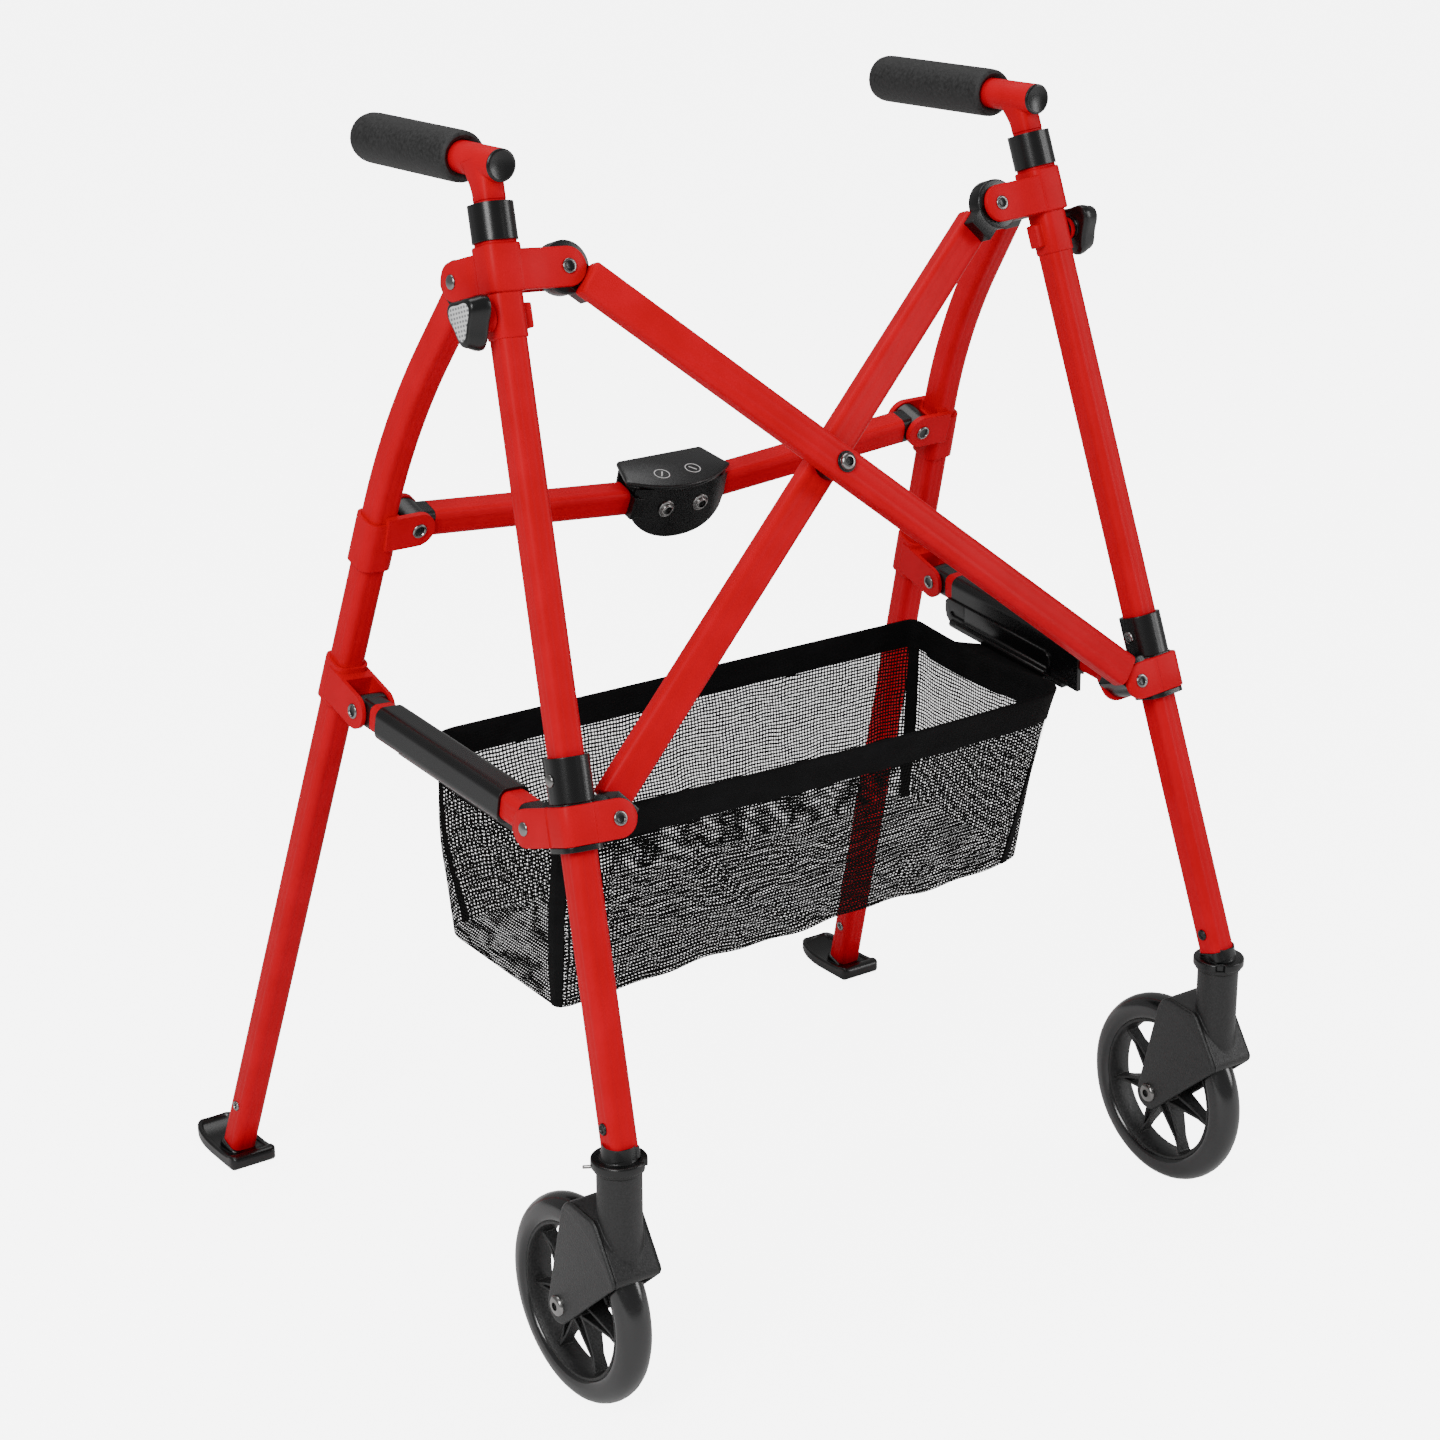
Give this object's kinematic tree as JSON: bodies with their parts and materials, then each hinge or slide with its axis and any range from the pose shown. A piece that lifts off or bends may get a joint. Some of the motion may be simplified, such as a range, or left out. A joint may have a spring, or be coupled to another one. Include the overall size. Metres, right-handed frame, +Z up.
{
  "type": "folding rollator walker",
  "caption": "Red folding walking frame with swivel front casters, ski feet, crossed front braces, a lift-to-fold cross bar, height-adjustable handles and a mesh basket.",
  "frame": {"origin": "on the floor, under the middle of the walker", "axes": "+Z up, -Y forward (the user stands at +Y), +X to the user's left"},
  "size_m": [0.643, 0.5766, 0.8446],
  "materials": {
    "red_paint": "gloss",
    "black_plastic": "satin",
    "grey_plastic": "matte",
    "steel": "satin",
    "foam": "matte",
    "tyre": "satin",
    "mesh_fabric": "woven mesh"
  },
  "bodies": {
    "right_leg": {"right_front_leg": "red_paint", "right_hub": "red_paint", "right_leg_sleeves": "black_plastic", "right_leg_plug": "black_plastic", "right_leg_pins": "steel"},
    "right_handle": {"right_handle_tube": "red_paint", "right_grip": "foam", "right_handle_plug": "black_plastic"},
    "right_knob": {"right_knob": "black_plastic"},
    "right_collar": {"right_collar": "red_paint", "right_collar_bushing": "black_plastic", "right_collar_pins": "steel"},
    "right_rear_leg": {"right_rear_leg": "red_paint", "right_rear_leg_cap": "black_plastic", "right_rear_brackets": "red_paint", "right_rear_pins": "steel", "right_foot": "black_plastic"},
    "right_side_bar": {"right_link_tube": "red_paint", "right_link_inserts": "black_plastic", "right_hanger_rail": "black_plastic", "basket": "mesh_fabric"},
    "right_cross_bar": {"right_cross_tube": "red_paint", "right_cross_plugs": "black_plastic"},
    "right_caster": {"right_fork": "grey_plastic", "right_axle_bolt": "steel"},
    "right_wheel": {"right_wheel": "grey_plastic", "right_tyre": "tyre"},
    "left_leg": {"left_front_leg": "red_paint", "left_hub": "red_paint", "left_leg_sleeves": "black_plastic", "left_leg_plug": "black_plastic", "left_leg_pins": "steel"},
    "left_handle": {"left_handle_tube": "red_paint", "left_grip": "foam", "left_handle_plug": "black_plastic"},
    "left_knob": {"left_knob": "black_plastic"},
    "left_collar": {"left_collar": "red_paint", "left_collar_bushing": "black_plastic", "left_collar_pins": "steel"},
    "left_rear_leg": {"left_rear_leg": "red_paint", "left_rear_leg_cap": "black_plastic", "left_rear_brackets": "red_paint", "left_rear_pins": "steel", "left_foot": "black_plastic"},
    "left_side_bar": {"left_link_tube": "red_paint", "left_link_inserts": "black_plastic", "left_hanger_rail": "black_plastic"},
    "left_cross_bar": {"left_cross_tube": "red_paint", "left_cross_plugs": "black_plastic"},
    "left_caster": {"left_fork": "grey_plastic", "left_axle_bolt": "steel"},
    "left_wheel": {"left_wheel": "grey_plastic", "left_tyre": "tyre"},
    "housing": {"housing": "black_plastic", "housing_bolts": "steel"},
    "front_brace": {"front_brace_bar": "red_paint", "front_brace_inserts": "black_plastic", "brace_bolt": "steel"},
    "rear_brace": {"rear_brace_bar": "red_paint", "rear_brace_inserts": "black_plastic"}
  },
  "joints": [
    {"name": "fold", "type": "hinge", "parent": "right_leg", "child": "front_brace", "pos_m": [-0.1863, -0.07727, 0.75697], "axis": [0, 0.9482, -0.3178], "range_deg": [0, 38], "deforming": ["basket"]},
    {"name": "brace_cross", "type": "hinge", "parent": "front_brace", "child": "rear_brace", "pos_m": [0, -0.12862, 0.60377], "axis": [0, -0.9482, 0.3178], "range_deg": [0, 67.78]},
    {"name": "left_brace_hub", "type": "hinge", "parent": "rear_brace", "child": "left_leg", "pos_m": [0.1863, -0.07727, 0.75697], "axis": [0, 0.9482, -0.3178], "range_deg": [0, 38.5]},
    {"name": "right_brace_collar", "type": "hinge", "parent": "rear_brace", "child": "right_collar", "pos_m": [-0.232, -0.19257, 0.41298], "axis": [0, 0.9482, -0.3178], "range_deg": [0, 29.78]},
    {"name": "left_brace_collar", "type": "hinge", "parent": "front_brace", "child": "left_collar", "pos_m": [0.232, -0.19257, 0.41298], "axis": [0, -0.9482, 0.3178], "range_deg": [0, 29.78]},
    {"name": "right_rear_leg_fold", "type": "hinge", "parent": "right_leg", "child": "right_rear_leg", "pos_m": [-0.23585, -0.04084, 0.74817], "axis": [0.9962, 0.0339, -0.0799], "range_deg": [-20.91, 0]},
    {"name": "left_rear_leg_fold", "type": "hinge", "parent": "left_leg", "child": "left_rear_leg", "pos_m": [0.23585, -0.04084, 0.74817], "axis": [-0.9962, 0.0339, -0.0799], "range_deg": [0, 20.91]},
    {"name": "right_side_bar_fold", "type": "hinge", "parent": "right_rear_leg", "child": "right_side_bar", "pos_m": [-0.26567, 0.06599, 0.42164], "axis": [0.9962, 0.0339, -0.0799], "range_deg": [0, 62.24]},
    {"name": "left_side_bar_fold", "type": "hinge", "parent": "left_rear_leg", "child": "left_side_bar", "pos_m": [0.26567, 0.06599, 0.42164], "axis": [-0.9962, 0.0339, -0.0799], "range_deg": [-62.24, 0]},
    {"name": "right_cross_bar_lift", "type": "hinge", "parent": "right_rear_leg", "child": "right_cross_bar", "pos_m": [-0.2285, 0.06441, 0.5569], "axis": [0, -0.9516, -0.3074], "range_deg": [0, 70.14]},
    {"name": "left_cross_bar_lift", "type": "hinge", "parent": "left_rear_leg", "child": "left_cross_bar", "pos_m": [0.2285, 0.06441, 0.5569], "axis": [0, -0.9516, -0.3074], "range_deg": [-70.14, 0]},
    {"name": "housing_level", "type": "hinge", "parent": "right_cross_bar", "child": "housing", "pos_m": [-0.0155, 0.07061, 0.5375], "axis": [0, -0.9516, -0.3074], "range_deg": [-70.14, 0]},
    {"name": "right_handle_height", "type": "slide", "parent": "right_leg", "child": "right_handle", "axis": [0.0651, 0.3171, 0.9461], "range_m": [0, 0.12]},
    {"name": "right_knob_turn", "type": "hinge", "parent": "right_leg", "child": "right_knob", "pos_m": [-0.23559, -0.08549, 0.73246], "axis": [0.9979, -0.0207, -0.0617], "continuous": true},
    {"name": "right_caster_swivel", "type": "hinge", "parent": "right_leg", "child": "right_caster", "pos_m": [-0.273, -0.26199, 0.2], "axis": [0, 0, 1], "continuous": true},
    {"name": "right_wheel_spin", "type": "hinge", "parent": "right_caster", "child": "right_wheel", "pos_m": [-0.273, -0.21329, 0.075], "axis": [1, 0, 0], "continuous": true},
    {"name": "left_handle_height", "type": "slide", "parent": "left_leg", "child": "left_handle", "axis": [-0.0651, 0.3171, 0.9461], "range_m": [0, 0.12]},
    {"name": "left_knob_turn", "type": "hinge", "parent": "left_leg", "child": "left_knob", "pos_m": [0.23559, -0.08549, 0.73246], "axis": [-0.9979, -0.0207, -0.0617], "continuous": true},
    {"name": "left_caster_swivel", "type": "hinge", "parent": "left_leg", "child": "left_caster", "pos_m": [0.273, -0.26199, 0.2], "axis": [0, 0, 1], "continuous": true},
    {"name": "left_wheel_spin", "type": "hinge", "parent": "left_caster", "child": "left_wheel", "pos_m": [0.273, -0.21329, 0.075], "axis": [1, 0, 0], "continuous": true}
  ],
  "couplings": [
    {"joint": "brace_cross", "follows": "fold", "ratio": 1.7705},
    {"joint": "left_brace_hub", "follows": "fold", "ratio": 1},
    {"joint": "right_brace_collar", "follows": "fold", "ratio": 0.7705},
    {"joint": "left_brace_collar", "follows": "fold", "ratio": 0.7705},
    {"joint": "right_rear_leg_fold", "follows": "fold", "ratio": -0.5371},
    {"joint": "left_rear_leg_fold", "follows": "fold", "ratio": 0.5371},
    {"joint": "right_side_bar_fold", "follows": "fold", "ratio": 1.6247},
    {"joint": "left_side_bar_fold", "follows": "fold", "ratio": -1.6247},
    {"joint": "right_cross_bar_lift", "follows": "fold", "ratio": 1.8328},
    {"joint": "left_cross_bar_lift", "follows": "fold", "ratio": -1.8328},
    {"joint": "housing_level", "follows": "fold", "ratio": -1.8328}
  ]
}
